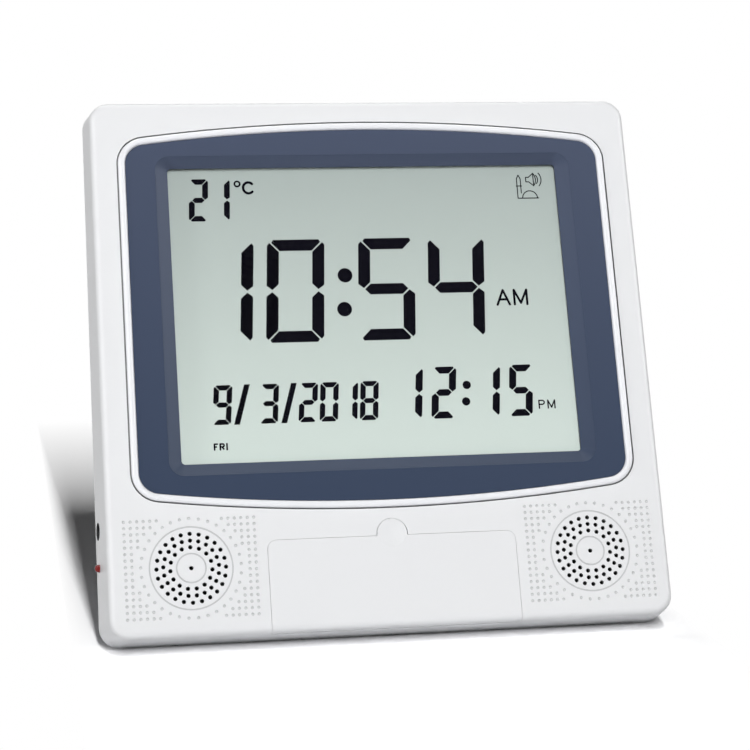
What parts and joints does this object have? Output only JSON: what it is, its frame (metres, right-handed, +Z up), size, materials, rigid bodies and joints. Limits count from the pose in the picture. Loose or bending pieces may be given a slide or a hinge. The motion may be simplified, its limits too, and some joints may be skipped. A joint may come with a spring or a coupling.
{
  "type": "alarm clock",
  "caption": "Leaning desk alarm clock with a calendar and temperature display, dotted speaker grilles, a hinged flap over its keys, a battery bay and a fold-out stand.",
  "frame": {"origin": "on the floor, midway between the soles of the rubber feet under the back edge of the casing", "axes": "+X to the right as the face is seen, +Y from the face towards the back, +Z up"},
  "size_m": [0.2318, 0.1052, 0.2122],
  "materials": {
    "casing": "satin white",
    "back": "fine texture",
    "ring": "polished white",
    "fascia": "satin slate blue",
    "keys": "satin",
    "rubber": "matt",
    "segments": "matt",
    "glass": "clear",
    "reflector": "satin",
    "carrier": "plain",
    "strip": "matt",
    "board": "solder mask",
    "chip": "moulded",
    "metal": "plated",
    "cone": "pressed paper",
    "magnet": "ground",
    "lamp": "clear tinted",
    "cell": "printed sleeve",
    "wire": "insulation"
  },
  "bodies": {
    "casing": {"front_shell": "casing", "trim_ring": "ring", "fascia": "fascia", "lcd_segments": "segments", "lcd_front_glass": "glass", "lcd_rear_glass": "glass", "lcd_reflector": "reflector", "lcd_frame": "carrier", "zebra_strip": "strip", "main_board": "board", "main_chip": "chip", "board_chips": "chip", "capacitors": "chip", "crystal": "metal", "thermistor": "chip", "wire_sockets": "carrier", "speaker_frame_left": "chip", "speaker_frame_right": "chip", "speaker_cone_left": "cone", "speaker_cone_right": "cone", "speaker_magnet_left": "magnet", "speaker_magnet_right": "magnet", "speaker_screws": "metal", "key_board": "board", "key_switches": "chip", "side_board": "board", "dc_jack": "chip", "dc_jack_pin": "metal", "power_lamp": "lamp", "rear_cover": "back", "cell_1": "cell", "cell_2": "cell", "cell_3": "cell", "battery_springs": "metal", "battery_plates": "metal", "rubber_feet": "rubber", "case_screws": "metal", "board_screws": "metal", "frame_screws": "metal", "key_board_screws": "metal", "speaker_wires": "wire", "battery_wires": "wire", "board_wires": "wire"},
    "flap": {"flap_door": "casing"},
    "stand": {"stand_leg": "back", "stand_foot": "rubber"},
    "battery_lid": {"battery_door": "back"},
    "key1": {"key_1": "keys"},
    "key2": {"key_2": "keys"},
    "key3": {"key_3": "keys"},
    "key4": {"key_4": "keys"},
    "key5": {"key_5": "keys"},
    "key6": {"key_6": "keys"}
  },
  "joints": [
    {"name": "flap_hinge", "type": "hinge", "parent": "casing", "child": "flap", "pos_m": [0, -0.02459, 0.01122], "axis": [1, 0, 0], "range_deg": [0, 100]},
    {"name": "stand_hinge", "type": "hinge", "parent": "casing", "child": "stand", "pos_m": [0, 0.04679, 0.11073], "axis": [-1, 0, 0], "range_deg": [0, 33]},
    {"name": "battery_lid_hinge", "type": "hinge", "parent": "casing", "child": "battery_lid", "pos_m": [0, 0.05465, 0.12352], "axis": [-1, 0, 0], "range_deg": [0, 100]},
    {"name": "key1_press", "type": "slide", "parent": "casing", "child": "key1", "axis": [0, 0.9272, -0.3746], "range_m": [0, 0.0006], "stiffness_N_per_m": 1500, "springref_m": -0.0003},
    {"name": "key2_press", "type": "slide", "parent": "casing", "child": "key2", "axis": [0, 0.9272, -0.3746], "range_m": [0, 0.0006], "stiffness_N_per_m": 1500, "springref_m": -0.0003},
    {"name": "key3_press", "type": "slide", "parent": "casing", "child": "key3", "axis": [0, 0.9272, -0.3746], "range_m": [0, 0.0006], "stiffness_N_per_m": 1500, "springref_m": -0.0003},
    {"name": "key4_press", "type": "slide", "parent": "casing", "child": "key4", "axis": [0, 0.9272, -0.3746], "range_m": [0, 0.0006], "stiffness_N_per_m": 1500, "springref_m": -0.0003},
    {"name": "key5_press", "type": "slide", "parent": "casing", "child": "key5", "axis": [0, 0.9272, -0.3746], "range_m": [0, 0.0006], "stiffness_N_per_m": 1500, "springref_m": -0.0003},
    {"name": "key6_press", "type": "slide", "parent": "casing", "child": "key6", "axis": [0, 0.9272, -0.3746], "range_m": [0, 0.0006], "stiffness_N_per_m": 1500, "springref_m": -0.0003}
  ]
}
